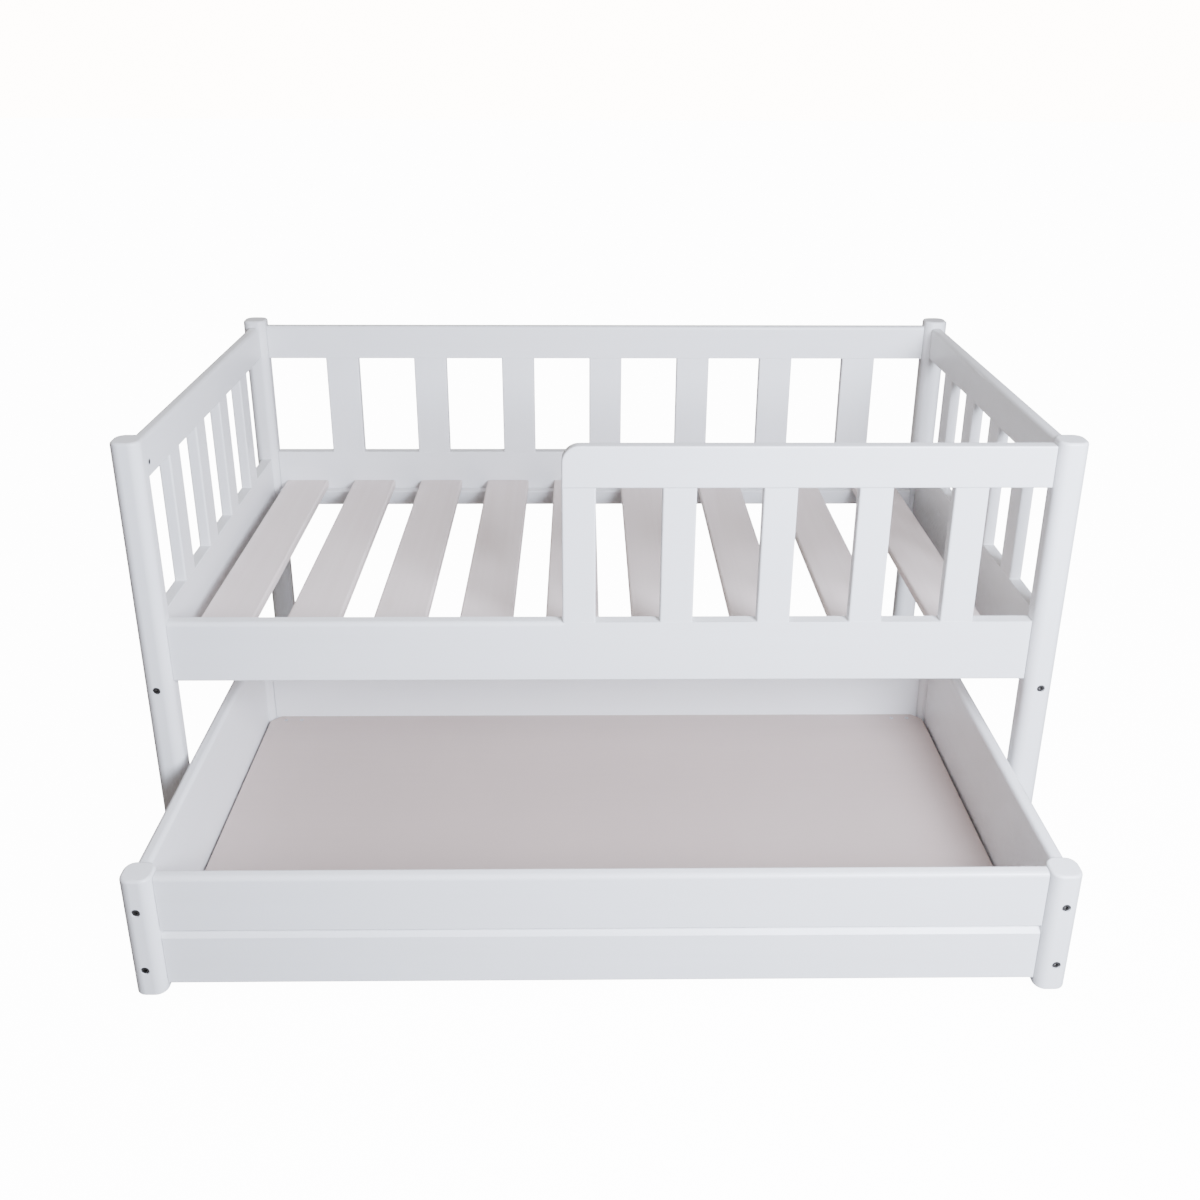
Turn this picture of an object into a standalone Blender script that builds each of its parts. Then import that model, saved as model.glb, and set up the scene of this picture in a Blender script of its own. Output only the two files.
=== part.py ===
# Toddler bed on square posts with a guard rail, a slatted base and a drawer that rolls under it.
# Metres, +Z up. The floor is z = 0, and +Y points to the back of the bed.
# The drawer stands partly pulled out, towards -Y. The origin is below the middle of the whole.

import math

import bmesh
import bpy
from mathutils import Vector

OBJECT_NAME = "toddler_bed"

# Overall sizes of the bed.
BED_LENGTH = 1.400
BED_WIDTH = 0.784
POST_HEIGHT = 0.718
POST_SIZE = 0.044
POST_CORNER_RADIUS = 0.016
POST_END_ROUNDING = 0.002
CORNER_SEGMENTS = 5

# Gap left between two pieces that touch.
TOUCH_GAP = 0.0003

# Colours before the looks are made.
BOARD_COLOUR = (0.84, 0.83, 0.81)
SLAT_COLOUR = (0.80, 0.77, 0.74)
STEEL_COLOUR = (0.55, 0.55, 0.56)
WHEEL_COLOUR = (0.03, 0.03, 0.032)
BOARD_ROUGHNESS = 0.42
SLAT_ROUGHNESS = 0.50
STEEL_ROUGHNESS = 0.35
SMOOTH_BELOW = 40

# Boards that run between the posts, all centred on the posts.
BOARD_THICKNESS = 0.020
TOP_EDGE_ROUNDING = 0.006
LOW_EDGE_ROUNDING = 0.003
JOINT_EDGE_ROUNDING = 0.0012
EDGE_SEGMENTS = 3
TOP_RAIL_BELOW_POST_TOP = 0.012
TOP_RAIL_WIDTH = 0.061
END_LOW_RAIL_TOP = 0.430
END_LOW_RAIL_WIDTH = 0.132
BACK_TOP_RAIL_EXTRA_WIDTH = 0.0045
BACK_LOW_RAIL_TOP = 0.442
BACK_LOW_RAIL_WIDTH = 0.114
SIDE_RAIL_TOP = 0.428
SIDE_RAIL_WIDTH = 0.100
SIDE_RAIL_ENTRY_ROUNDING = 0.007

# Upright slats of the back, the two ends and the guard, a touch thinner than the boards.
SLAT_SET_BACK = 0.0003
SLAT_ROUNDING = 0.003
SLAT_SEGMENTS = 2
BACK_SLAT_STEPS = (4, 2)
BACK_SLAT_STEP_RATIO = 0.949
BACK_SLAT_WIDTH = 0.065
BACK_SLAT_MARGIN_LEFT = 0.113
BACK_SLAT_MARGIN_RIGHT = 0.0945
END_SLAT_STEPS = (3, 0)
END_SLAT_WIDTH = 0.050
END_SLAT_MARGIN = 0.114

# Guard rail over the right half of the front.
GUARD_LENGTH = 0.7145
GUARD_BELOW_POST_TOP = 0.0085
GUARD_CORNER_RADIUS = 0.026
GUARD_CORNER_SEGMENTS = 6
GUARD_SLAT_STEPS = (2, 2)
GUARD_SLAT_STEP_RATIO = 0.948
GUARD_SLAT_WIDTH = 0.050
GUARD_SLAT_MARGIN_RIGHT = 0.091

# Slatted base. The slats by the foot end are spaced a little wider.
LEDGER_THICKNESS = 0.020
LEDGER_HEIGHT = 0.030
LEDGER_ROUNDING = 0.002
BASE_SLAT_THICKNESS = 0.017
BASE_SLAT_WIDTH = 0.086
BASE_SLAT_ROUNDING = 0.003
BASE_SLAT_TOP = 0.380
BASE_SLAT_MARGIN_LEFT = 0.025
BASE_SLAT_MARGIN_RIGHT = 0.049
BASE_SLAT_STEPS = (5, 3)
BASE_SLAT_STEP_RATIO = 1.157
BASE_SLAT_END_GAP = 0.001

# Drawer. It fills the bay between the front posts, and is drawn out by DRAWER_PULL.
DRAWER_PULL = 0.307
DRAWER_BACK_CLEARANCE = 0.036
DRAWER_SIDE_CLEARANCE = 0.006
DRAWER_BOARD_HEIGHT = 0.180
DRAWER_POST_ABOVE_BOARD = 0.004
DRAWER_POST_BELOW_BOARD = 0.010
DRAWER_EDGE_ROUNDING = 0.007
FRONT_GROOVE_ABOVE_BOTTOM_EDGE = 0.0855
FRONT_GROOVE_HALF_WIDTH = 0.007
BOTTOM_THICKNESS = 0.009
BOTTOM_ABOVE_BOARD_EDGE = 0.016
BOTTOM_SIDE_GAP = 0.005
BOTTOM_SEAT_DEPTH = 0.005
BOTTOM_CORNER_CLEARANCE = 0.005

# Casters under the drawer's bottom panel.
WHEEL_RADIUS = 0.016
WHEEL_WIDTH = 0.014
WHEEL_EDGE_RADIUS = 0.003
WHEEL_EDGE_STEPS = 3
WHEEL_SIDES = 28
HUB_RADIUS = 0.0065
HUB_PROUD = 0.0010
AXLE_RADIUS = 0.0025
AXLE_CLEARANCE = 0.0002
AXLE_SIDES = 16
CASTER_SIDE_GAP = 0.0010
CASTER_PLATE_LENGTH = 0.042
CASTER_PLATE_WIDTH = 0.022
CASTER_PLATE_THICKNESS = 0.0020
CASTER_CHEEK_THICKNESS = 0.0020
CASTER_CHEEK_WIDTH = 0.013
CASTER_CHEEK_ROUNDING = 0.004
WHEEL_TO_PLATE = 0.0057
CASTER_TO_SIDE_BOARD = 0.027
WHEEL_UNDER_CROSS_BOARD = 0.002

# Places that follow from the sizes above.
FRONT_FACE = -(BED_WIDTH + DRAWER_PULL) / 2 + DRAWER_PULL
BACK_FACE = FRONT_FACE + BED_WIDTH
POST_X = (BED_LENGTH - POST_SIZE) / 2
FRONT_POST_Y = FRONT_FACE + POST_SIZE / 2
BACK_POST_Y = BACK_FACE - POST_SIZE / 2
BETWEEN_POSTS_X = POST_X - POST_SIZE / 2
TOP_RAIL_TOP = POST_HEIGHT - TOP_RAIL_BELOW_POST_TOP
TOP_RAIL_BOTTOM = TOP_RAIL_TOP - TOP_RAIL_WIDTH
DRAWER_FRONT_FACE = FRONT_FACE - DRAWER_PULL
DRAWER_DEPTH = BED_WIDTH - POST_SIZE - DRAWER_BACK_CLEARANCE
DRAWER_BACK_FACE = DRAWER_FRONT_FACE + DRAWER_DEPTH
DRAWER_POST_X = BETWEEN_POSTS_X - DRAWER_SIDE_CLEARANCE - POST_SIZE / 2
DRAWER_FRONT_POST_Y = DRAWER_FRONT_FACE + POST_SIZE / 2
DRAWER_BACK_POST_Y = DRAWER_BACK_FACE - POST_SIZE / 2
BOTTOM_LOW = 2 * WHEEL_RADIUS + WHEEL_TO_PLATE + CASTER_PLATE_THICKNESS + TOUCH_GAP
BOTTOM_TOP = BOTTOM_LOW + BOTTOM_THICKNESS
DRAWER_BOARD_BOTTOM = BOTTOM_LOW - BOTTOM_ABOVE_BOARD_EDGE
DRAWER_BOARD_TOP = DRAWER_BOARD_BOTTOM + DRAWER_BOARD_HEIGHT
DRAWER_POST_BOTTOM = DRAWER_BOARD_BOTTOM - DRAWER_POST_BELOW_BOARD
DRAWER_POST_TOP = DRAWER_BOARD_TOP + DRAWER_POST_ABOVE_BOARD
GUARD_START = BETWEEN_POSTS_X - GUARD_LENGTH

X, Y, Z = Vector((1, 0, 0)), Vector((0, 1, 0)), Vector((0, 0, 1))


def clear_scene():
    for item in list(bpy.data.objects):
        bpy.data.objects.remove(item, do_unlink=True)


def new_collection(name):
    collection = bpy.data.collections.new(name)
    bpy.context.scene.collection.children.link(collection)
    return collection


def paint(name, colour, roughness, metallic=0.0):
    material = bpy.data.materials.new(name)
    material.use_nodes = True
    shader = material.node_tree.nodes["Principled BSDF"]
    shader.inputs["Base Color"].default_value = (*colour, 1.0)
    shader.inputs["Roughness"].default_value = roughness
    shader.inputs["Metallic"].default_value = metallic
    material.diffuse_color = (*colour, 1.0)
    return material


def add_object(name, mesh, place, material, collection):
    item = bpy.data.objects.new(name, mesh)
    item.location = place
    if material:
        mesh.materials.append(material)
    collection.objects.link(item)
    return item


def box_mesh(name, size):
    mesh = bpy.data.meshes.new(name)
    shape = bmesh.new()
    bmesh.ops.create_cube(shape, size=1.0)
    bmesh.ops.scale(shape, vec=Vector(size), verts=shape.verts)
    shape.to_mesh(mesh)
    shape.free()
    return mesh


def round_edges(mesh, chosen, radius, segments):
    """Rounds each edge for which chosen(start, end) is true."""
    shape = bmesh.new()
    shape.from_mesh(mesh)
    edges = [edge for edge in shape.edges if chosen(edge.verts[0].co, edge.verts[1].co)]
    bmesh.ops.bevel(shape, geom=edges, offset=radius, segments=segments, profile=0.5, affect="EDGES")
    shape.to_mesh(mesh)
    shape.free()


def runs_along(axis):
    """Chooses the edges that run along an axis."""
    def chosen(start, end):
        way = (end - start).normalized()
        return abs(way.dot(axis)) > 0.99
    return chosen


def runs_along_at(axis, side):
    """Chooses the edges that run along an axis on one side of the middle."""
    def chosen(start, end):
        return runs_along(axis)(start, end) and start.dot(side) > 0 and end.dot(side) > 0
    return chosen


def between(low, high):
    """Size and middle of the box between two corners."""
    low, high = Vector(low), Vector(high)
    return high - low, (low + high) / 2


def smooth(item):
    item.data.shade_smooth()
    item.data.set_sharp_from_angle(angle=math.radians(SMOOTH_BELOW))


def add_bar(name, low, high, axis, rounding, segments, material, collection):
    """A straight bar between two corners, with its four long edges rounded."""
    size, middle = between(low, high)
    mesh = box_mesh(name, size)
    round_edges(mesh, runs_along(axis), rounding, segments)
    return add_object(name, mesh, middle, material, collection)


def add_post(name, x, y, bottom, top, collection):
    material = paint(name, BOARD_COLOUR, BOARD_ROUGHNESS)
    half = POST_SIZE / 2
    post = add_bar(name, (x - half, y - half, bottom), (x + half, y + half, top), Z,
                   POST_CORNER_RADIUS, CORNER_SEGMENTS, material, collection)
    ends = post.modifiers.new("soft_ends", "BEVEL")
    ends.width = POST_END_ROUNDING
    ends.segments = 1
    ends.limit_method = "ANGLE"
    ends.angle_limit = math.radians(60)
    smooth(post)
    return post


def add_bed_posts(collection):
    for side, x in (("left", -POST_X), ("right", POST_X)):
        add_post(f"bed_post_front_{side}", x, FRONT_POST_Y, 0.0, POST_HEIGHT, collection)
        add_post(f"bed_post_back_{side}", x, BACK_POST_Y, 0.0, POST_HEIGHT, collection)


def add_board(name, low, high, axis, top_rounding, low_rounding, collection):
    """A board on edge, with one rounding on its upper edges and another on its lower ones."""
    size, middle = between(low, high)
    mesh = box_mesh(name, size)
    round_edges(mesh, runs_along_at(axis, Z), top_rounding, EDGE_SEGMENTS)
    round_edges(mesh, runs_along_at(axis, -Z), low_rounding, EDGE_SEGMENTS)
    return add_object(name, mesh, middle, paint(name, BOARD_COLOUR, BOARD_ROUGHNESS), collection)


def span_x(y, bottom, top):
    """Corners of a board between the left and right posts, centred on y."""
    half = BOARD_THICKNESS / 2
    reach = BETWEEN_POSTS_X - TOUCH_GAP
    return (-reach, y - half, bottom), (reach, y + half, top)


def span_y(x, bottom, top):
    """Corners of a board between a front and a back post of the bed, centred on x."""
    half = BOARD_THICKNESS / 2
    start = FRONT_POST_Y + POST_SIZE / 2 + TOUCH_GAP
    end = BACK_POST_Y - POST_SIZE / 2 - TOUCH_GAP
    return (x - half, start, bottom), (x + half, end, top)


def slat_centres(start, end, margin_start, margin_end, width, counts, ratio=1.0):
    """Middles of slats between two margins.

    counts holds how many steps there are of the first size and of the last size, ratio times the first.
    """
    first = start + margin_start + width / 2
    last = end - margin_end - width / 2
    steps = [1.0] * counts[0] + [ratio] * counts[1]
    step = (last - first) / sum(steps)
    return [first + step * sum(steps[:i]) for i in range(len(steps) + 1)]


def add_upright_slat(name, x, y, across, width, bottom, top, collection):
    """An upright slat whose width runs along the axis given by across."""
    material = paint(name, BOARD_COLOUR, BOARD_ROUGHNESS)
    half = across * width / 2 + (X + Y - across) * (BOARD_THICKNESS / 2 - SLAT_SET_BACK)
    low = Vector((x - half.x, y - half.y, bottom + TOUCH_GAP))
    high = Vector((x + half.x, y + half.y, top - TOUCH_GAP))
    return add_bar(name, low, high, Z, SLAT_ROUNDING, SLAT_SEGMENTS, material, collection)


def add_rail_pair(name, span, axis, top_rail_bottom, low_rail_top, low_rail_width, collection):
    """The top and bottom rail of a side. Their edges are left nearly square where slats meet them."""
    top_rail = span(top_rail_bottom, TOP_RAIL_TOP)
    low_rail = span(low_rail_top - low_rail_width, low_rail_top)
    add_board(f"{name}_top_rail", *top_rail, axis, TOP_EDGE_ROUNDING, JOINT_EDGE_ROUNDING, collection)
    add_board(f"{name}_bottom_rail", *low_rail, axis, JOINT_EDGE_ROUNDING, LOW_EDGE_ROUNDING, collection)


def add_back(collection):
    top_rail_bottom = TOP_RAIL_BOTTOM - BACK_TOP_RAIL_EXTRA_WIDTH
    add_rail_pair("back", lambda bottom, top: span_x(BACK_POST_Y, bottom, top), X,
                  top_rail_bottom, BACK_LOW_RAIL_TOP, BACK_LOW_RAIL_WIDTH, collection)
    centres = slat_centres(-BETWEEN_POSTS_X, BETWEEN_POSTS_X, BACK_SLAT_MARGIN_LEFT,
                           BACK_SLAT_MARGIN_RIGHT, BACK_SLAT_WIDTH, BACK_SLAT_STEPS,
                           BACK_SLAT_STEP_RATIO)
    for number, x in enumerate(centres, 1):
        add_upright_slat(f"back_slat_{number}", x, BACK_POST_Y, X, BACK_SLAT_WIDTH,
                         BACK_LOW_RAIL_TOP, top_rail_bottom, collection)


def add_end(side, x, collection):
    add_rail_pair(side, lambda bottom, top: span_y(x, bottom, top), Y,
                  TOP_RAIL_BOTTOM, END_LOW_RAIL_TOP, END_LOW_RAIL_WIDTH, collection)
    start = FRONT_POST_Y + POST_SIZE / 2
    end = BACK_POST_Y - POST_SIZE / 2
    centres = slat_centres(start, end, END_SLAT_MARGIN, END_SLAT_MARGIN, END_SLAT_WIDTH, END_SLAT_STEPS)
    for number, y in enumerate(centres, 1):
        add_upright_slat(f"{side}_slat_{number}", x, y, Y, END_SLAT_WIDTH,
                         END_LOW_RAIL_TOP, TOP_RAIL_BOTTOM, collection)


def add_front_rail(collection):
    """The long front rail, its outer top edge well rounded along the way in, beside the guard."""
    low, high = span_x(FRONT_POST_Y, SIDE_RAIL_TOP - SIDE_RAIL_WIDTH, SIDE_RAIL_TOP)
    size, middle = between(low, high)
    mesh = box_mesh("front_rail", size)
    split_at_x(mesh, GUARD_START)

    def along_way_in(edge_start, edge_end):
        outer_top = runs_along_at(X, Z)(edge_start, edge_end) and edge_start.y < 0
        return outer_top and max(edge_start.x, edge_end.x) < GUARD_START + TOUCH_GAP

    round_edges(mesh, along_way_in, SIDE_RAIL_ENTRY_ROUNDING, EDGE_SEGMENTS + 1)
    round_edges(mesh, runs_along_at(X, -Z), LOW_EDGE_ROUNDING, EDGE_SEGMENTS)
    add_object("front_rail", mesh, middle, paint("front_rail", BOARD_COLOUR, BOARD_ROUGHNESS), collection)


def split_at_x(mesh, x):
    """Adds a ring of edges across the mesh at x."""
    shape = bmesh.new()
    shape.from_mesh(mesh)
    everything = shape.verts[:] + shape.edges[:] + shape.faces[:]
    bmesh.ops.bisect_plane(shape, geom=everything, plane_co=X * x, plane_no=X)
    shape.to_mesh(mesh)
    shape.free()


def add_guard(collection):
    """The guard rail with its free corner rounded, on slats that stand on the side rail."""
    end = BETWEEN_POSTS_X
    half = BOARD_THICKNESS / 2
    size, middle = between((GUARD_START, FRONT_POST_Y - half, TOP_RAIL_BOTTOM),
                           (end - TOUCH_GAP, FRONT_POST_Y + half, POST_HEIGHT - GUARD_BELOW_POST_TOP))
    mesh = box_mesh("guard_rail", size)
    butt_x = size.x / 2

    def free_top_corner(edge_start, edge_end):
        return runs_along_at(Y, Z)(edge_start, edge_end) and edge_start.x < 0

    round_edges(mesh, free_top_corner, GUARD_CORNER_RADIUS, GUARD_CORNER_SEGMENTS)

    def on_rim(edge_start, edge_end):
        """Edges around the front and back faces, but not where the rail meets the post."""
        on_face = abs(edge_start.y - edge_end.y) < TOUCH_GAP
        return on_face and (edge_start.x + edge_end.x) / 2 < butt_x - TOUCH_GAP

    round_edges(mesh, on_rim, LOW_EDGE_ROUNDING, EDGE_SEGMENTS)
    material = paint("guard_rail", BOARD_COLOUR, BOARD_ROUGHNESS)
    add_object("guard_rail", mesh, middle, material, collection)
    centres = slat_centres(GUARD_START, end, 0.0, GUARD_SLAT_MARGIN_RIGHT, GUARD_SLAT_WIDTH,
                           GUARD_SLAT_STEPS, GUARD_SLAT_STEP_RATIO)
    for number, x in enumerate(centres, 1):
        add_upright_slat(f"guard_slat_{number}", x, FRONT_POST_Y, X, GUARD_SLAT_WIDTH,
                         SIDE_RAIL_TOP, TOP_RAIL_BOTTOM, collection)


def add_ledger(name, face_y, way, collection):
    """A batten on the inner face of a long rail, which the base slats lie on."""
    material = paint(name, SLAT_COLOUR, SLAT_ROUGHNESS)
    near = face_y + way * TOUCH_GAP
    far = face_y + way * LEDGER_THICKNESS
    top = BASE_SLAT_TOP - BASE_SLAT_THICKNESS - TOUCH_GAP
    low = (-BETWEEN_POSTS_X + TOUCH_GAP, min(near, far), top - LEDGER_HEIGHT)
    high = (BETWEEN_POSTS_X - TOUCH_GAP, max(near, far), top)
    add_bar(name, low, high, X, LEDGER_ROUNDING, 1, material, collection)


def add_base(collection):
    inner_front = FRONT_POST_Y + BOARD_THICKNESS / 2
    inner_back = BACK_POST_Y - BOARD_THICKNESS / 2
    add_ledger("ledger_front", inner_front, 1, collection)
    add_ledger("ledger_back", inner_back, -1, collection)
    inner_end = POST_X - BOARD_THICKNESS / 2
    centres = slat_centres(-inner_end, inner_end, BASE_SLAT_MARGIN_LEFT, BASE_SLAT_MARGIN_RIGHT,
                           BASE_SLAT_WIDTH, BASE_SLAT_STEPS, BASE_SLAT_STEP_RATIO)
    for number, x in enumerate(centres, 1):
        name = f"base_slat_{number}"
        material = paint(name, SLAT_COLOUR, SLAT_ROUGHNESS)
        low = (x - BASE_SLAT_WIDTH / 2, inner_front + BASE_SLAT_END_GAP, BASE_SLAT_TOP - BASE_SLAT_THICKNESS)
        high = (x + BASE_SLAT_WIDTH / 2, inner_back - BASE_SLAT_END_GAP, BASE_SLAT_TOP)
        add_bar(name, low, high, Y, BASE_SLAT_ROUNDING, SLAT_SEGMENTS, material, collection)


def add_cutter(name, mesh, place, cutters):
    cutter = add_object(name, mesh, place, None, cutters)
    cutter.hide_render = True
    cutter.display_type = "WIRE"
    return cutter


def cut(item, cutter):
    step = item.modifiers.new(cutter.name, "BOOLEAN")
    step.operation = "DIFFERENCE"
    step.solver = "EXACT"
    step.object = cutter


def add_drawer_board(name, x, y, half_x, half_y, axis, collection):
    """A drawer board on edge, centred on x and y."""
    low = (x - half_x, y - half_y, DRAWER_BOARD_BOTTOM)
    high = (x + half_x, y + half_y, DRAWER_BOARD_TOP)
    return add_board(name, low, high, axis, DRAWER_EDGE_ROUNDING, LOW_EDGE_ROUNDING, collection)


def bottom_seat_cutter(name, y, way, cutters):
    """Cutter for the slot in a cross board that the bottom panel's edge sits in."""
    half_x = DRAWER_POST_X - POST_SIZE / 2 + TOUCH_GAP
    face = y + way * BOARD_THICKNESS / 2
    reach = BOTTOM_SEAT_DEPTH + TOUCH_GAP
    low = (-half_x, min(face + way * reach, face - way * reach), BOTTOM_LOW - TOUCH_GAP)
    high = (half_x, max(face + way * reach, face - way * reach), BOTTOM_TOP + TOUCH_GAP)
    size, middle = between(low, high)
    return add_cutter(name, box_mesh(name, size), middle, cutters)


def groove_cutter(cutters):
    """A square bar on its edge, which cuts the V groove across the drawer's front."""
    side = FRONT_GROOVE_HALF_WIDTH * math.sqrt(2)
    mesh = box_mesh("front_groove_cutter", (BED_LENGTH, side, side))
    height = DRAWER_BOARD_BOTTOM + FRONT_GROOVE_ABOVE_BOTTOM_EDGE
    place = (0.0, DRAWER_FRONT_POST_Y - BOARD_THICKNESS / 2, height)
    cutter = add_cutter("front_groove_cutter", mesh, place, cutters)
    cutter.rotation_euler.x = math.radians(45)
    return cutter


def add_drawer_boards(collection, cutters):
    half = BOARD_THICKNESS / 2
    half_x = DRAWER_POST_X - POST_SIZE / 2 - TOUCH_GAP
    half_y = DRAWER_DEPTH / 2 - POST_SIZE - TOUCH_GAP
    middle_y = (DRAWER_FRONT_FACE + DRAWER_BACK_FACE) / 2
    front = add_drawer_board("drawer_front", 0.0, DRAWER_FRONT_POST_Y, half_x, half, X, collection)
    back = add_drawer_board("drawer_back", 0.0, DRAWER_BACK_POST_Y, half_x, half, X, collection)
    cut(front, bottom_seat_cutter("front_seat_cutter", DRAWER_FRONT_POST_Y, 1, cutters))
    cut(front, groove_cutter(cutters))
    cut(back, bottom_seat_cutter("back_seat_cutter", DRAWER_BACK_POST_Y, -1, cutters))
    for side, x in (("left", -DRAWER_POST_X), ("right", DRAWER_POST_X)):
        add_drawer_board(f"drawer_side_{side}", x, middle_y, half, half_y, Y, collection)


def bottom_corner_cut():
    """Leg of the bevel that takes the panel's corner clear of the rounded corner post."""
    to_line = POST_SIZE - 2 * POST_CORNER_RADIUS
    to_line += math.sqrt(2) * (POST_CORNER_RADIUS + BOTTOM_CORNER_CLEARANCE)
    corner_from_post = BOARD_THICKNESS + BOTTOM_SIDE_GAP - BOTTOM_SEAT_DEPTH
    return to_line - corner_from_post


def add_drawer_bottom(collection):
    """The bottom panel: seated in the cross boards, clear of the sides, its corners cut off."""
    name = "drawer_bottom"
    half_x = DRAWER_POST_X - BOARD_THICKNESS / 2 - BOTTOM_SIDE_GAP
    seat = BOARD_THICKNESS / 2 - BOTTOM_SEAT_DEPTH
    size, middle = between((-half_x, DRAWER_FRONT_POST_Y + seat, BOTTOM_LOW),
                           (half_x, DRAWER_BACK_POST_Y - seat, BOTTOM_TOP))
    mesh = box_mesh(name, size)
    round_edges(mesh, runs_along(Z), bottom_corner_cut(), 1)
    add_object(name, mesh, middle, paint(name, BOARD_COLOUR, SLAT_ROUGHNESS), collection)


def disc_mesh(name, radius, depth, sides):
    """A cylinder whose axis is X."""
    mesh = bpy.data.meshes.new(name)
    shape = bmesh.new()
    bmesh.ops.create_cone(shape, cap_ends=True, segments=sides, radius1=radius, radius2=radius, depth=depth)
    turn = (X.rotation_difference(Z)).inverted().to_matrix()
    bmesh.ops.rotate(shape, cent=(0, 0, 0), matrix=turn, verts=shape.verts)
    shape.to_mesh(mesh)
    shape.free()
    return mesh


def add_caster_bracket(number, place, collection, cutters):
    """Plate, two cheeks and the fixed axle of one caster, joined into one piece."""
    name = f"caster_bracket_{number}"
    x, y = place
    top = BOTTOM_LOW - TOUCH_GAP
    plate_middle = (x, y, top - CASTER_PLATE_THICKNESS / 2)
    plate_mesh = box_mesh(name, (CASTER_PLATE_LENGTH, CASTER_PLATE_WIDTH, CASTER_PLATE_THICKNESS))
    steel = paint(name, STEEL_COLOUR, STEEL_ROUGHNESS, metallic=1.0)
    plate = add_object(name, plate_mesh, plate_middle, steel, collection)
    cheek_x = WHEEL_WIDTH / 2 + HUB_PROUD + CASTER_SIDE_GAP + CASTER_CHEEK_THICKNESS / 2
    cheek_top = top - CASTER_PLATE_THICKNESS / 2
    cheek_bottom = WHEEL_RADIUS - CASTER_CHEEK_WIDTH / 2
    cheek_height = cheek_top - cheek_bottom
    for side, shift in (("left", -cheek_x), ("right", cheek_x)):
        cheek_mesh = box_mesh("cheek", (CASTER_CHEEK_THICKNESS, CASTER_CHEEK_WIDTH, cheek_height))
        cheek_place = (x + shift, y, cheek_bottom + cheek_height / 2)
        cheek = add_cutter(f"{name}_cheek_{side}", cheek_mesh, cheek_place, cutters)
        round_edges(cheek_mesh, runs_along_at(X, -Z), CASTER_CHEEK_ROUNDING, EDGE_SEGMENTS)
        join(plate, cheek)
    axle_length = 2 * cheek_x + CASTER_CHEEK_THICKNESS / 2
    axle_mesh = disc_mesh("axle", AXLE_RADIUS, axle_length, AXLE_SIDES)
    join(plate, add_cutter(f"{name}_axle", axle_mesh, (x, y, WHEEL_RADIUS), cutters))


def join(item, other):
    step = item.modifiers.new(other.name, "BOOLEAN")
    step.operation = "UNION"
    step.solver = "EXACT"
    step.object = other


def wheel_profile():
    """Half section of the wheel as (along the axle, distance from the axle), run round once."""
    half = WHEEL_WIDTH / 2
    hub = half + HUB_PROUD
    bore = AXLE_RADIUS + AXLE_CLEARANCE
    edge = WHEEL_EDGE_RADIUS
    rim = []
    for step in range(WHEEL_EDGE_STEPS + 1):
        turn = math.radians(90) * step / WHEEL_EDGE_STEPS
        rim.append((half - edge + edge * math.sin(turn), WHEEL_RADIUS - edge + edge * math.cos(turn)))
    side = rim + [(half, HUB_RADIUS), (hub, HUB_RADIUS), (hub, bore)]
    return side + [(-along, out) for along, out in reversed(side)]


def add_caster_wheel(number, place, collection):
    name = f"caster_wheel_{number}"
    x, y = place
    mesh = bpy.data.meshes.new(name)
    shape = bmesh.new()
    points = [shape.verts.new((along, 0.0, out)) for along, out in wheel_profile()]
    for start, end in zip(points, points[1:] + points[:1]):
        shape.edges.new((start, end))
    shape.to_mesh(mesh)
    shape.free()
    nylon = paint(name, WHEEL_COLOUR, SLAT_ROUGHNESS)
    wheel = add_object(name, mesh, (x, y, WHEEL_RADIUS), nylon, collection)
    turned = wheel.modifiers.new("turned", "SCREW")
    turned.axis = "X"
    turned.steps = WHEEL_SIDES
    turned.render_steps = WHEEL_SIDES
    turned.use_merge_vertices = True
    turned.merge_threshold = 0.00001
    turned.use_normal_flip = True


def add_casters(collection, cutters):
    x = DRAWER_POST_X - BOARD_THICKNESS / 2 - CASTER_TO_SIDE_BOARD - CASTER_PLATE_LENGTH / 2
    from_board = BOARD_THICKNESS / 2 + WHEEL_RADIUS - WHEEL_UNDER_CROSS_BOARD
    front = DRAWER_FRONT_POST_Y + from_board
    back = DRAWER_BACK_POST_Y - from_board
    places = ((-x, front), (x, front), (-x, back), (x, back))
    for number, place in enumerate(places, 1):
        add_caster_bracket(number, place, collection, cutters)
        add_caster_wheel(number, place, collection)


def add_drawer(collection, cutters):
    for side, x in (("left", -DRAWER_POST_X), ("right", DRAWER_POST_X)):
        for end, y in (("front", DRAWER_FRONT_POST_Y), ("back", DRAWER_BACK_POST_Y)):
            add_post(f"drawer_post_{end}_{side}", x, y, DRAWER_POST_BOTTOM, DRAWER_POST_TOP, collection)
    add_drawer_boards(collection, cutters)
    add_drawer_bottom(collection)
    add_casters(collection, cutters)


def main():
    clear_scene()
    collection = new_collection(OBJECT_NAME)
    cutters = new_collection("cutters")
    cutters.hide_render = True
    add_bed_posts(collection)
    add_back(collection)
    add_end("left", -POST_X, collection)
    add_end("right", POST_X, collection)
    add_front_rail(collection)
    add_guard(collection)
    add_base(collection)
    add_drawer(collection, cutters)


main()
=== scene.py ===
import math
import random

import bmesh
import bpy
from mathutils import Matrix, Vector


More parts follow.
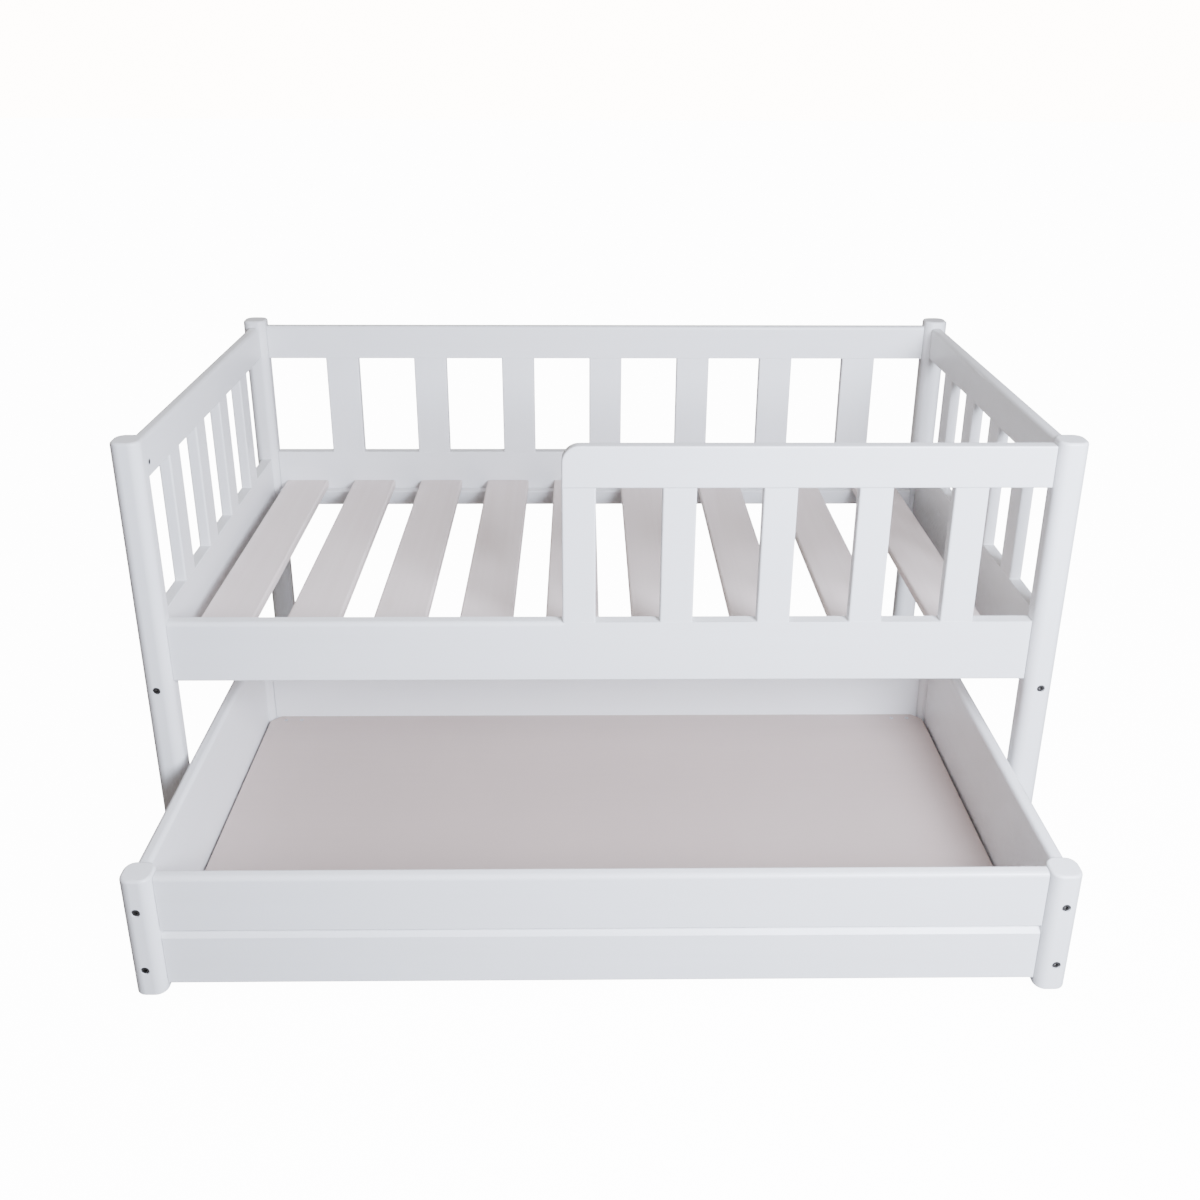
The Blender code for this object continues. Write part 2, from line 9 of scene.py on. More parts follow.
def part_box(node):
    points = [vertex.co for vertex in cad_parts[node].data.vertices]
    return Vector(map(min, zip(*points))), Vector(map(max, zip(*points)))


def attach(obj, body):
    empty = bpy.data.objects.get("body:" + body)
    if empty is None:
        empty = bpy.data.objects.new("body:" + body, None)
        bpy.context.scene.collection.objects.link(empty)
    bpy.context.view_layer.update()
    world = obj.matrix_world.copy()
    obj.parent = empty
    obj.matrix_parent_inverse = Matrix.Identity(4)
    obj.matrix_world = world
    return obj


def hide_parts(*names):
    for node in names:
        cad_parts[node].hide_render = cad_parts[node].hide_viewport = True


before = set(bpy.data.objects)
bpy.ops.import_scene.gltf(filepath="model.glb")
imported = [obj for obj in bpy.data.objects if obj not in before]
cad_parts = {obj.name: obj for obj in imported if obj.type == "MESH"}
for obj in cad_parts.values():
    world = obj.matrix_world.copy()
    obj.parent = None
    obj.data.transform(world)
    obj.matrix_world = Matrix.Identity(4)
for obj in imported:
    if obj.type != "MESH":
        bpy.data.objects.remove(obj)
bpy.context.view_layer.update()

# Toddler bed: refined timber, fittings and paint over the measured frame.
scene = bpy.context.scene
tiny = 1e-6
grainSpread = 20    # each piece's grain starts up to this far off
random.seed(11)


# Small helpers for shader and geometry trees.
def addNode(group, kind, sockets=None, **settings):
    node = group.nodes.new(kind)
    for key, value in settings.items():
        setattr(node, key, value)
    for key, value in (sockets or {}).items():
        if isinstance(value, bpy.types.NodeSocket):
            group.links.new(value, node.inputs[key])
        else:
            node.inputs[key].default_value = value
    return node


def newFinish(name, colour, roughness, metallic=0.0, coat=0.0, coatRoughness=0.2):
    finish = bpy.data.materials.new(name)
    finish.use_nodes = True
    finish.diffuse_color = (*colour, 1.0)
    shader = finish.node_tree.nodes["Principled BSDF"]
    shader.inputs["Base Color"].default_value = (*colour, 1.0)
    shader.inputs["Roughness"].default_value = roughness
    shader.inputs["Metallic"].default_value = metallic
    shader.inputs["Coat Weight"].default_value = coat
    shader.inputs["Coat Roughness"].default_value = coatRoughness
    return finish, finish.node_tree, shader


def noiseOn(group, vector, stretch, detail=3.0, roughness=0.55, distortion=0.0):
    mapped = addNode(group, "ShaderNodeMapping", {"Vector": vector, "Scale": stretch})
    noise = addNode(group, "ShaderNodeTexNoise", {
        "Vector": mapped.outputs["Vector"], "Scale": 1.0, "Detail": detail,
        "Roughness": roughness, "Distortion": distortion})
    return noise.outputs["Fac"]


def toRange(group, value, fromLow, fromHigh, low, high):
    spread = addNode(group, "ShaderNodeMapRange", {
        "Value": value, "From Min": fromLow, "From Max": fromHigh, "To Min": low, "To Max": high})
    return spread.outputs["Result"]


def mixColour(group, factor, first, second):
    mix = addNode(group, "ShaderNodeMix", data_type="RGBA")
    for socket, value in ((mix.inputs[0], factor), (mix.inputs[6], first), (mix.inputs[7], second)):
        if isinstance(value, bpy.types.NodeSocket):
            group.links.new(value, socket)
        else:
            socket.default_value = (*value, 1.0) if isinstance(value, tuple) else value
    return mix.outputs[2]


def bumpOn(group, height, strength, distance, under=None):
    sockets = {"Height": height, "Strength": strength, "Distance": distance}
    if under:
        sockets["Normal"] = under
    return addNode(group, "ShaderNodeBump", sockets).outputs["Normal"]


# Finishes. The first two follow the grain that each timber piece carries.
paintSettings = {
    "white": (0.80, 0.80, 0.80),
    "warmWhite": (0.775, 0.77, 0.765),
    "roughness": (0.34, 0.50),
    "coat": 0.12,
    "coatRoughness": 0.25,
    "rings": (2.2, 60.0, 60.0),
    "pores": (30.0, 900.0, 900.0),
    "peel": (330.0, 330.0, 330.0),
    "patches": (5.0, 9.0, 9.0),
    "dents": (38.0, 70.0, 70.0),
    "grainDepth": 0.0005,
    "peelDepth": 0.00012,
}


def paintedTimberFinish(name, settings):
    # White satin paint, with the timber's long grain just telegraphing through it.
    finish, group, shader = newFinish(name, settings["white"], 0.42, coat=settings["coat"],
                                      coatRoughness=settings["coatRoughness"])
    grain = addNode(group, "ShaderNodeAttribute", attribute_name="grain").outputs["Vector"]
    tone = addNode(group, "ShaderNodeAttribute", attribute_name="tone").outputs["Fac"]
    rings = noiseOn(group, grain, settings["rings"], detail=5.0, distortion=0.5)
    pores = noiseOn(group, grain, settings["pores"], detail=2.0)
    peel = noiseOn(group, grain, settings["peel"], detail=1.0)
    patches = noiseOn(group, grain, settings["patches"], detail=4.0)
    dents = noiseOn(group, grain, settings["dents"], detail=0.0)
    ringMix = toRange(group, rings, 0.38, 0.72, 0.0, 0.55)
    withRings = mixColour(group, ringMix, settings["white"], settings["warmWhite"])
    patchMix = toRange(group, patches, 0.45, 0.75, 0.0, 0.5)
    withPatches = mixColour(group, patchMix, withRings, settings["warmWhite"])
    toneMix = toRange(group, tone, -1.0, 1.0, 0.0, 0.35)
    toned = mixColour(group, toneMix, withPatches, settings["white"])
    group.links.new(toned, shader.inputs["Base Color"])
    low, high = settings["roughness"]
    group.links.new(toRange(group, patches, 0.3, 0.7, low, high), shader.inputs["Roughness"])
    normal = bumpOn(group, rings, 0.30, settings["grainDepth"])
    normal = bumpOn(group, pores, 0.22, settings["peelDepth"], normal)
    normal = bumpOn(group, peel, 0.18, settings["peelDepth"], normal)
    dented = toRange(group, dents, 0.16, 0.24, 0.0, 1.0)
    normal = bumpOn(group, dented, 0.15, settings["grainDepth"], normal)
    group.links.new(normal, shader.inputs["Normal"])
    return finish


stainSettings = {
    "pale": (0.76, 0.665, 0.63),
    "dark": (0.725, 0.625, 0.59),
    "knot": (0.69, 0.585, 0.54),
    "roughness": (0.46, 0.62),
    "rings": (1.6, 75.0, 75.0),
    "pores": (25.0, 1100.0, 1100.0),
    "knots": (4.0, 9.0, 9.0),
    "grainDepth": 0.0006,
}


def slatTimberFinish(name, settings):
    # Thin white stain: the rings and a few knots show as soft darker streaks.
    finish, group, shader = newFinish(name, settings["pale"], 0.52)
    grain = addNode(group, "ShaderNodeAttribute", attribute_name="grain").outputs["Vector"]
    rings = noiseOn(group, grain, settings["rings"], detail=6.0, distortion=0.9)
    pores = noiseOn(group, grain, settings["pores"], detail=2.0)
    mapped = addNode(group, "ShaderNodeMapping", {"Vector": grain, "Scale": settings["knots"]})
    spots = addNode(group, "ShaderNodeTexVoronoi", {
        "Vector": mapped.outputs["Vector"], "Scale": 1.0})
    knots = toRange(group, spots.outputs["Distance"], 0.045, 0.13, 0.55, 0.0)
    ringMix = toRange(group, rings, 0.42, 0.70, 0.0, 0.62)
    streaked = mixColour(group, ringMix, settings["pale"], settings["dark"])
    knotted = mixColour(group, knots, streaked, settings["knot"])
    group.links.new(knotted, shader.inputs["Base Color"])
    low, high = settings["roughness"]
    group.links.new(toRange(group, rings, 0.3, 0.7, low, high), shader.inputs["Roughness"])
    normal = bumpOn(group, rings, 0.35, settings["grainDepth"])
    normal = bumpOn(group, pores, 0.30, settings["grainDepth"] / 3, normal)
    group.links.new(normal, shader.inputs["Normal"])
    return finish


panelSettings = {
    # colour: darker and browner than the white paint, painted shade for the panel under the bed
    "colour": (0.49, 0.405, 0.37),
    "shade": 0.95,
    "roughness": (0.38, 0.56),
    "roller": (420.0, 420.0, 420.0),
    "clouds": (3.0, 3.0, 3.0),
    "scuffs": (6.0, 95.0, 6.0),
    "rollerDepth": 0.00012,
}


def panelFinish(name, settings):
    # Painted fibreboard: flat, with a fine roller texture. Its base colour is set well below white
    # paint, as painted shade for the dim light under the bed.
    colour = settings["colour"]
    finish, group, shader = newFinish(name, colour, 0.45)
    place = addNode(group, "ShaderNodeTexCoord").outputs["Object"]
    roller = noiseOn(group, place, settings["roller"], detail=2.0)
    clouds = noiseOn(group, place, settings["clouds"], detail=3.0)
    scuffs = noiseOn(group, place, settings["scuffs"], detail=4.0, distortion=0.6)
    shade = tuple(part * settings["shade"] for part in colour)
    group.links.new(mixColour(group, toRange(group, clouds, 0.4, 0.7, 0.0, 0.7), colour, shade),
                    shader.inputs["Base Color"])
    low, high = settings["roughness"]
    group.links.new(toRange(group, scuffs, 0.35, 0.7, low, high), shader.inputs["Roughness"])
    normal = bumpOn(group, roller, 0.25, settings["rollerDepth"])
    group.links.new(normal, shader.inputs["Normal"])
    return finish


zincSettings = {"colour": (0.62, 0.63, 0.65), "dull": 0.72, "roughness": 0.34,
                "blotches": (90.0, 90.0, 450.0), "spangle": 260.0, "depth": 0.0001}
boltSettings = {"colour": (0.16, 0.155, 0.15), "dull": 0.72, "roughness": 0.36,
                "blotches": (300.0, 300.0, 1500.0), "spangle": 260.0, "depth": 0.0001}


def metalFinish(name, settings):
    # Plated steel with soft drawn-out blotches and a little spangle.
    colour, roughness = settings["colour"], settings["roughness"]
    finish, group, shader = newFinish(name, colour, roughness, metallic=1.0)
    place = addNode(group, "ShaderNodeTexCoord").outputs["Object"]
    spangle = addNode(group, "ShaderNodeTexVoronoi", {
        "Vector": place, "Scale": settings["spangle"]}).outputs["Color"]
    blotch = noiseOn(group, place, settings["blotches"], detail=3.0)
    dull = tuple(part * settings["dull"] for part in colour)
    mottled = mixColour(group, toRange(group, blotch, 0.35, 0.7, 0.0, 0.8), colour, dull)
    group.links.new(mottled, shader.inputs["Base Color"])
    spread = addNode(group, "ShaderNodeSeparateColor", {"Color": spangle}).outputs["Red"]
    uneven = toRange(group, spread, 0.0, 1.0, roughness * 0.8, roughness * 1.3)
    group.links.new(uneven, shader.inputs["Roughness"])
    group.links.new(bumpOn(group, blotch, 0.15, settings["depth"]), shader.inputs["Normal"])
    return finish


nylonSettings = {
    "colour": (0.03, 0.03, 0.032),
    "worn": (0.086, 0.086, 0.0904),
    "roughness": (0.42, 0.66),
    "spark": (1500.0, 1500.0, 1500.0),
    "scuffs": (160.0, 60.0, 60.0),
    "sparkDepth": 0.00005,
}


def nylonFinish(name, settings):
    # Moulded nylon with a fine spark texture, its scuffs lighter and duller.
    finish, group, shader = newFinish(name, settings["colour"], 0.5)
    place = addNode(group, "ShaderNodeTexCoord").outputs["Object"]
    spark = noiseOn(group, place, settings["spark"], detail=2.0)
    scuffs = noiseOn(group, place, settings["scuffs"], detail=4.0)
    wornMix = toRange(group, scuffs, 0.5, 0.75, 0.0, 0.6)
    group.links.new(mixColour(group, wornMix, settings["colour"], settings["worn"]),
                    shader.inputs["Base Color"])
    low, high = settings["roughness"]
    group.links.new(toRange(group, scuffs, 0.3, 0.7, low, high), shader.inputs["Roughness"])
    group.links.new(bumpOn(group, spark, 0.3, settings["sparkDepth"]), shader.inputs["Normal"])
    return finish


finishes = {
    "paint": paintedTimberFinish("whiteSatinPaint", paintSettings),
    "stain": slatTimberFinish("whiteStainedPine", stainSettings),
    "panel": panelFinish("paintedFibreboardWithPaintedShade", panelSettings),
    "zinc": metalFinish("zincPlatedSteel", zincSettings),
    "bolt": metalFinish("blackenedBoltSteel", boltSettings),
    "nylon": nylonFinish("blackNylon", nylonSettings),
}
print("finishes made")


# Mesh helpers.
def corners(node):
    low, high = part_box(node)
    return Vector(low), Vector(high)


def isLong(edge, axis):
    return abs(edge.verts[0].co[axis] - edge.verts[1].co[axis]) > tiny


def softBevel(shape, edges, radius, segments):
    bmesh.ops.bevel(shape, geom=edges, offset=radius, segments=segments, profile=0.5,
                    affect="EDGES")


def boxShape(low, high):
    shape = bmesh.new()
    bmesh.ops.create_cube(shape, size=1.0)
    for vert in shape.verts:
        vert.co = Vector(high[i] if vert.co[i] > 0 else low[i] for i in range(3))
    return shape


def barShape(low, high, axis, radiusAt, segments, endRadii, endSegments=3):
    # A bar along one axis. radiusAt(sideA, sideB) gives the rounding of each long edge.
    shape = boxShape(low, high)
    a, b = (axis + 1) % 3, (axis + 2) % 3
    for sideA in (-1, 1):
        for sideB in (-1, 1):
            radius = radiusAt(sideA, sideB)
            atA = high[a] if sideA > 0 else low[a]
            atB = high[b] if sideB > 0 else low[b]
            edges = [edge for edge in shape.edges if isLong(edge, axis) and
                     all(abs(vert.co[a] - atA) < tiny and abs(vert.co[b] - atB) < tiny
                         for vert in edge.verts)]
            softBevel(shape, edges, radius, segments)
    for end, radius in zip((low[axis], high[axis]), endRadii):
        rim = [edge for edge in shape.edges
               if all(abs(vert.co[axis] - end) < tiny for vert in edge.verts)]
        softBevel(shape, rim, radius, endSegments)
    return shape


def meshFrom(shape, name):
    mesh = bpy.data.meshes.new(name)
    bmesh.ops.recalc_face_normals(shape, faces=shape.faces)
    shape.to_mesh(mesh)
    shape.free()
    return mesh


def weighNormals(mesh, sharpAngle=38.0):
    # Flat faces stay flat and roundings stay smooth: each corner's normal is weighed by face area.
    limit = math.cos(math.radians(sharpAngle))
    around = [[] for _ in mesh.vertices]
    for face in mesh.polygons:
        for vert in face.vertices:
            around[vert].append(face)
    mesh.shade_smooth()
    normals = []
    for face in mesh.polygons:
        for vert in face.vertices:
            total = Vector()
            for other in around[vert]:
                if other.normal.dot(face.normal) > limit:
                    total += other.normal * other.area
            normals.append(total.normalized() if total.length > 0 else face.normal.copy())
    mesh.normals_split_custom_set(normals)


def markGrain(mesh, axis):
    # Coordinates for the grain, with x along the board, and a small tone of the board's own.
    shift = Vector(random.uniform(-grainSpread, grainSpread) for _ in range(3))
    tone = random.uniform(-1, 1)
    grain = []
    for vert in mesh.vertices:
        place = vert.co
        grain.extend(Vector((place[axis], place[(axis + 1) % 3], place[(axis + 2) % 3])) + shift)
    mesh.attributes.new("grain", "FLOAT_VECTOR", "POINT").data.foreach_set("vector", grain)
    tones = [tone] * len(mesh.vertices)
    mesh.attributes.new("tone", "FLOAT", "POINT").data.foreach_set("value", tones)


def addPiece(name, mesh, finish, body, stands):
    piece = bpy.data.objects.new(name, mesh)
    scene.collection.objects.link(piece)
    if finish:
        mesh.materials.clear()
        mesh.materials.append(finish)
    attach(piece, body)
    if stands:
        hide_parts(*stands)
    return piece


def carve(mesh, shapes):
    # Takes the given bmesh shapes out of a mesh.
    worked = bpy.data.objects.new("worked", mesh)
    scene.collection.objects.link(worked)
    cutters = []
    for shape in shapes:
        cutter = bpy.data.objects.new("cutter", meshFrom(shape, "cutter"))
        scene.collection.objects.link(cutter)
        step = worked.modifiers.new("cut", "BOOLEAN")
        step.operation = "DIFFERENCE"
        step.solver = "EXACT"
        step.object = cutter
        cutters.append(cutter)
    graph = bpy.context.evaluated_depsgraph_get()
    result = bpy.data.meshes.new_from_object(worked.evaluated_get(graph))
    for item in cutters + [worked]:
        bpy.data.objects.remove(item)
    return result


def rodShape(centre, way, radius, length, sides):
    # A cylinder whose middle is at centre, along way.
    shape = bmesh.new()
    bmesh.ops.create_cone(shape, cap_ends=True, segments=sides, radius1=radius, radius2=radius,
                          depth=length)
    turn = Vector((0, 0, 1)).rotation_difference(Vector(way)).to_matrix().to_4x4()
    bmesh.ops.transform(shape, matrix=Matrix.Translation(centre) @ turn, verts=shape.verts)
    return shape


# Where the bolts and cross nuts go, as (place, facing) on the face that they are sunk in.
boltPlan = {
    "boreRadius": 0.0062,
    "boreDepth": 0.0062,
    "endRailHeights": (0.318, 0.666),
    "longRailHeights": {"front": (0.352, 0.404), "back": (0.356, 0.412)},
    "topRailHeight": 0.686,
    "drawerHeights": (0.0575, 0.1555),
    "outwards": 0.002,
    "boreSides": 32,
    "offBoreEnd": 0.0001,
}
nutPlan = {"fromRailEnd": 0.0260, "boreRadius": 0.0045, "boreDepth": 0.0018}

boltPlaces = {"bed_frame": [], "drawer": []}
nutPlaces = []
boresIn = {}    # node: its bores, as (place, facing, radius, depth)


def sinkBore(node, plan, place, facing):
    # Notes a bore in the node, and returns where the fitting stands in it.
    place, facing = Vector(place), Vector(facing)
    boresIn.setdefault(node, []).append((place, facing, plan["boreRadius"], plan["boreDepth"]))
    return place - facing * (plan["boreDepth"] - boltPlan["offBoreEnd"]), facing


def addBolt(post, body, place, facing):
    boltPlaces[body].append(sinkBore(post, boltPlan, place, facing))


def addNut(rail, place, facing):
    nutPlaces.append(sinkBore(rail, nutPlan, place, facing))


def boltRow(node, body, sign, facing, heights):
    # Bolts in the front or back face of a post, a little off its middle.
    low, high = corners(node)
    x = (low.x + high.x) / 2 + sign * boltPlan["outwards"]
    y = low.y if facing < 0 else high.y
    for height in heights:
        addBolt(node, body, (x, y, height), (0, facing, 0))


def planEndRails(side, sign, end, facing):
    # End rails are bolted through the front and back faces of the posts.
    lowHeight, topHeight = boltPlan["endRailHeights"]
    boltRow(f"bed_post_{end}_{side}", "bed_frame", sign, facing, [lowHeight])
    inward = -sign if end == "front" else sign
    for rail, height in ((f"{side}_bottom_rail", lowHeight), (f"{side}_top_rail", topHeight)):
        low, high = corners(rail)
        x = high.x if inward > 0 else low.x
        railEnd = low.y if facing < 0 else high.y
        addNut(rail, (x, railEnd - facing * nutPlan["fromRailEnd"], height), (inward, 0, 0))


def planLongRails(side, sign, end):
    # Long rails are bolted through the outer end faces of the posts.
    post = f"bed_post_{end}_{side}"
    low, high = corners(post)
    rails = {"front": ("front_rail", "guard_rail"), "back": ("back_bottom_rail", "back_top_rail")}
    plan = [(rails[end][0], height) for height in boltPlan["longRailHeights"][end]]
    if end == "back" or side == "right":
        plan.append((rails[end][1], boltPlan["topRailHeight"]))
    x = low.x if sign < 0 else high.x
    for rail, height in plan:
        addBolt(post, "bed_frame", (x, (low.y + high.y) / 2, height), (sign, 0, 0))
        railLow, railHigh = corners(rail)
        railEnd = railLow.x if sign < 0 else railHigh.x
        addNut(rail, (railEnd - sign * nutPlan["fromRailEnd"], railHigh.y, height), (0, 1, 0))


for side, sign in (("left", -1), ("right", 1)):
    for end, facing in (("front", -1), ("back", 1)):
        planEndRails(side, sign, end, facing)
        planLongRails(side, sign, end)
        boltRow(f"drawer_post_{end}_{side}", "drawer", sign, facing, boltPlan["drawerHeights"])


def boreShapes(node):
    return [rodShape(place, facing, radius, depth * 2, boltPlan["boreSides"])
            for place, facing, radius, depth in boresIn.get(node, [])]


# Posts, with their bolt holes.
postLook = {
    "cornerRadius": 0.016,
    "cornerSegments": 12,
    "topEase": 0.0045,
    "footEase": 0.0020,
}


def makePost(node, body):
    low, high = corners(node)
    shape = barShape(low, high, 2, lambda sideA, sideB: postLook["cornerRadius"],
                     postLook["cornerSegments"], (postLook["footEase"], postLook["topEase"]))
    mesh = meshFrom(shape, node)
    bores = boreShapes(node)
    if bores:
        mesh = carve(mesh, bores)
    markGrain(mesh, 2)
    weighNormals(mesh)
    addPiece("paint_" + node, mesh, finishes["paint"], body, [node])


for side in ("left", "right"):
    for end in ("front", "back"):
        makePost(f"bed_post_{end}_{side}", "bed_frame")
        makePost(f"drawer_post_{end}_{side}", "drawer")
print("posts made")


# Rails and boards.
railLook = {
    "topEase": 0.006,
    "lowEase": 0.003,
    "jointEase": 0.0012,
    "endEase": 0.0006,
    "segments": 6,
}
drawerLook = {
    "topEase": 0.007,
    "lowEase": 0.003,
    "grooveHalfWidth": 0.007,
    "grooveHeight": 0.1095,
    "grooveLength": 2.0,
}


def makeBoard(node, body, axis, topEase, lowEase, cuts=()):
    low, high = corners(node)

    def ease(sideA, sideB):
        upper = sideB > 0 if axis == 0 else sideA > 0
        return topEase if upper else lowEase

    shape = barShape(low, high, axis, ease, railLook["segments"], (railLook["endEase"],) * 2)
    mesh = meshFrom(shape, node)
    shapes = boreShapes(node) + list(cuts)
    if shapes:
        mesh = carve(mesh, shapes)
    markGrain(mesh, axis)
    weighNormals(mesh)
    return addPiece("paint_" + node, mesh, finishes["paint"], body, [node])


makeBoard("back_top_rail", "bed_frame", 0, railLook["topEase"], railLook["jointEase"])
makeBoard("back_bottom_rail", "bed_frame", 0, railLook["jointEase"], railLook["lowEase"])
for side in ("left", "right"):
    makeBoard(f"{side}_top_rail", "bed_frame", 1, railLook["topEase"], railLook["jointEase"])
    makeBoard(f"{side}_bottom_rail", "bed_frame", 1, railLook["jointEase"], railLook["lowEase"])


def grooveShape():
    # A square bar on its edge, for the V groove across the drawer's front.
    low, high = corners("drawer_front")
    side = drawerLook["grooveHalfWidth"] * math.sqrt(2)
    shape = bmesh.new()
    bmesh.ops.create_cube(shape, size=1.0)
    bmesh.ops.scale(shape, vec=(drawerLook["grooveLength"], side, side), verts=shape.verts)
    turn = Matrix.Rotation(math.radians(45), 4, "X")
    place = Matrix.Translation((0, low.y, drawerLook["grooveHeight"]))
    bmesh.ops.transform(shape, matrix=place @ turn, verts=shape.verts)
    return shape


drawerEase = (drawerLook["topEase"], drawerLook["lowEase"])
makeBoard("drawer_front", "drawer", 0, *drawerEase, [grooveShape()])
makeBoard("drawer_back", "drawer", 0, *drawerEase)
for side in ("left", "right"):
    makeBoard(f"drawer_side_{side}", "drawer", 1, *drawerEase)

frontRailLook = {"entryEase": 0.007, "entrySegments": 8}


def makeFrontRail():
    # The outer top edge is well rounded beside the guard, where a child climbs in.
    low, high = corners("front_rail")
    guardStart = corners("guard_rail")[0].x
    shape = boxShape(low, high)
    everything = shape.verts[:] + shape.edges[:] + shape.faces[:]
    bmesh.ops.bisect_plane(shape, geom=everything, plane_co=(guardStart, 0, 0), plane_no=(1, 0, 0))

    entry = [edge for edge in shape.edges if isLong(edge, 0) and all(
        abs(vert.co.y - low.y) < tiny and abs(vert.co.z - high.z) < tiny and
        vert.co.x < guardStart + 10 * tiny for vert in edge.verts)]
    softBevel(shape, entry, frontRailLook["entryEase"], frontRailLook["entrySegments"])
    lower = [edge for edge in shape.edges if isLong(edge, 0) and all(
        abs(vert.co.z - low.z) < tiny and
        min(abs(vert.co.y - low.y), abs(vert.co.y - high.y)) < tiny for vert in edge.verts)]
    softBevel(shape, lower, railLook["lowEase"], railLook["segments"])
    mesh = carve(meshFrom(shape, "front_rail"), boreShapes("front_rail"))
    markGrain(mesh, 0)
    weighNormals(mesh)
    addPiece("paint_front_rail", mesh, finishes["paint"], "bed_frame",
             ["front_rail"])


guardLook = {"cornerRadius": 0.026, "cornerSegments": 16}


def makeGuardRail():
    # Its free top corner is round, and it butts square against the post.
    low, high = corners("guard_rail")
    shape = boxShape(low, high)
    free = [edge for edge in shape.edges if isLong(edge, 1) and
            all(abs(vert.co.x - low.x) < tiny and vert.co.z > high.z - tiny for vert in edge.verts)]
    softBevel(shape, free, guardLook["cornerRadius"], guardLook["cornerSegments"])
    rim = [edge for edge in shape.edges if not isLong(edge, 1) and
           (edge.verts[0].co.x + edge.verts[1].co.x) / 2 < high.x - 100 * tiny]
    softBevel(shape, rim, railLook["lowEase"], railLook["segments"])
    mesh = carve(meshFrom(shape, "guard_rail"), boreShapes("guard_rail"))
    markGrain(mesh, 0)
    weighNormals(mesh)
    addPiece("paint_guard_rail", mesh, finishes["paint"], "bed_frame",
             ["guard_rail"])


makeFrontRail()
makeGuardRail()
print("rails and boards made")


# Geometry Nodes trees that grow pieces on a cloud of points.
def newTree(name, inputs):
    group = bpy.data.node_groups.new(name, "GeometryNodeTree")
    group.interface.new_socket("Geometry", in_out="INPUT", socket_type="NodeSocketGeometry")
    for label, kind, value in inputs:
        socket = group.interface.new_socket(label, in_out="INPUT", socket_type="NodeSocket" + kind)
        if value is not None:
            socket.default_value = value
    group.interface.new_socket("Geometry", in_out="OUTPUT", socket_type="NodeSocketGeometry")
    return group, group.nodes.new("NodeGroupInput")


def halfOf(group, value):
    return addNode(group, "ShaderNodeMath", {0: value, 1: 0.5}, operation="MULTIPLY").outputs[0]


def storeVector(group, geometry, name, value, domain="POINT"):
    store = addNode(group, "GeometryNodeStoreNamedAttribute", {"Geometry": geometry, "Name": name},
                    data_type="FLOAT_VECTOR", domain=domain)
    group.links.new(value, store.inputs["Value"])
    return store.outputs[0]


def readVector(group, name):
    return addNode(group, "GeometryNodeInputNamedAttribute", {"Name": name},
                   data_type="FLOAT_VECTOR").outputs[0]


def finishTree(group, points, shape, turn, finish, shift=None):
    # Sets the shape on every point, makes it real and gives it its material.
    placed = addNode(group, "GeometryNodeInstanceOnPoints", {
        "Points": points, "Instance": shape, "Rotation": turn}).outputs[0]
    if shift:
        placed = storeVector(group, placed, "shift", shift, "INSTANCE")
    real = addNode(group, "GeometryNodeRealizeInstances", {"Geometry": placed}).outputs[0]
    if shift:
        total = addNode(group, "ShaderNodeVectorMath", {
            0: readVector(group, "grain"), 1: readVector(group, "shift")}, operation="ADD")
        real = storeVector(group, real, "grain", total.outputs[0])
    done = addNode(group, "GeometryNodeSetMaterial", {"Geometry": real, "Material": finish})
    addNode(group, "NodeGroupOutput", {"Geometry": done.outputs[0]})


def grow(tree, name, places, facings, values):
    # Runs a tree on a point cloud of places and returns the plain mesh.
    mesh = bpy.data.meshes.new(name)
    mesh.from_pydata([tuple(place) for place in places], [], [])
    if facings:
        facing = mesh.attributes.new("facing", "FLOAT_VECTOR", "POINT")
        for index, way in enumerate(facings):
            facing.data[index].vector = way
    seedling = bpy.data.objects.new(name, mesh)
    scene.collection.objects.link(seedling)
    step = seedling.modifiers.new("grow", "NODES")
    step.node_group = tree
    for socket in tree.interface.items_tree:
        if socket.item_type == "SOCKET" and socket.in_out == "INPUT" and socket.name in values:
            step[socket.identifier] = values[socket.name]
    graph = bpy.context.evaluated_depsgraph_get()
    result = bpy.data.meshes.new_from_object(seedling.evaluated_get(graph))
    seedling.modifiers.clear()
    bpy.data.objects.remove(seedling)
    result.name = name
    return result


# Slats: one rounded bar on each point. The overlap closes the upright slats' joints.
slatLook = {"roundingSteps": 5, "jointOverlap": 0.001}


